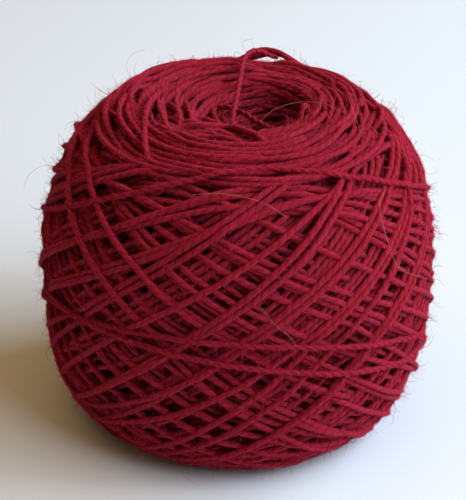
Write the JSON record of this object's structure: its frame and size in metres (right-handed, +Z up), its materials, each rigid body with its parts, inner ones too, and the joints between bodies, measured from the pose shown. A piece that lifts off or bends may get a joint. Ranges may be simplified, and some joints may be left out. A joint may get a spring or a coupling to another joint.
{
  "type": "centre-pull ball of yarn",
  "caption": "Wool yarn wound crosswise into a round-shouldered ball that stands on its end, with an open centre well and its inner end pulled out over the top rim.",
  "frame": {"origin": "middle of the flat spot that the ball stands on", "axes": "+Z up along the axis that the ball was wound about, -Y the front, +X the right"},
  "size_m": [0.0895, 0.09, 0.0794],
  "materials": {
    "crimson_wool": "matt, slightly hairy two-ply wool"
  },
  "bodies": {
    "root": {"yarn_ball": "crimson_wool", "loose_strand": "crimson_wool"}
  },
  "joints": []
}
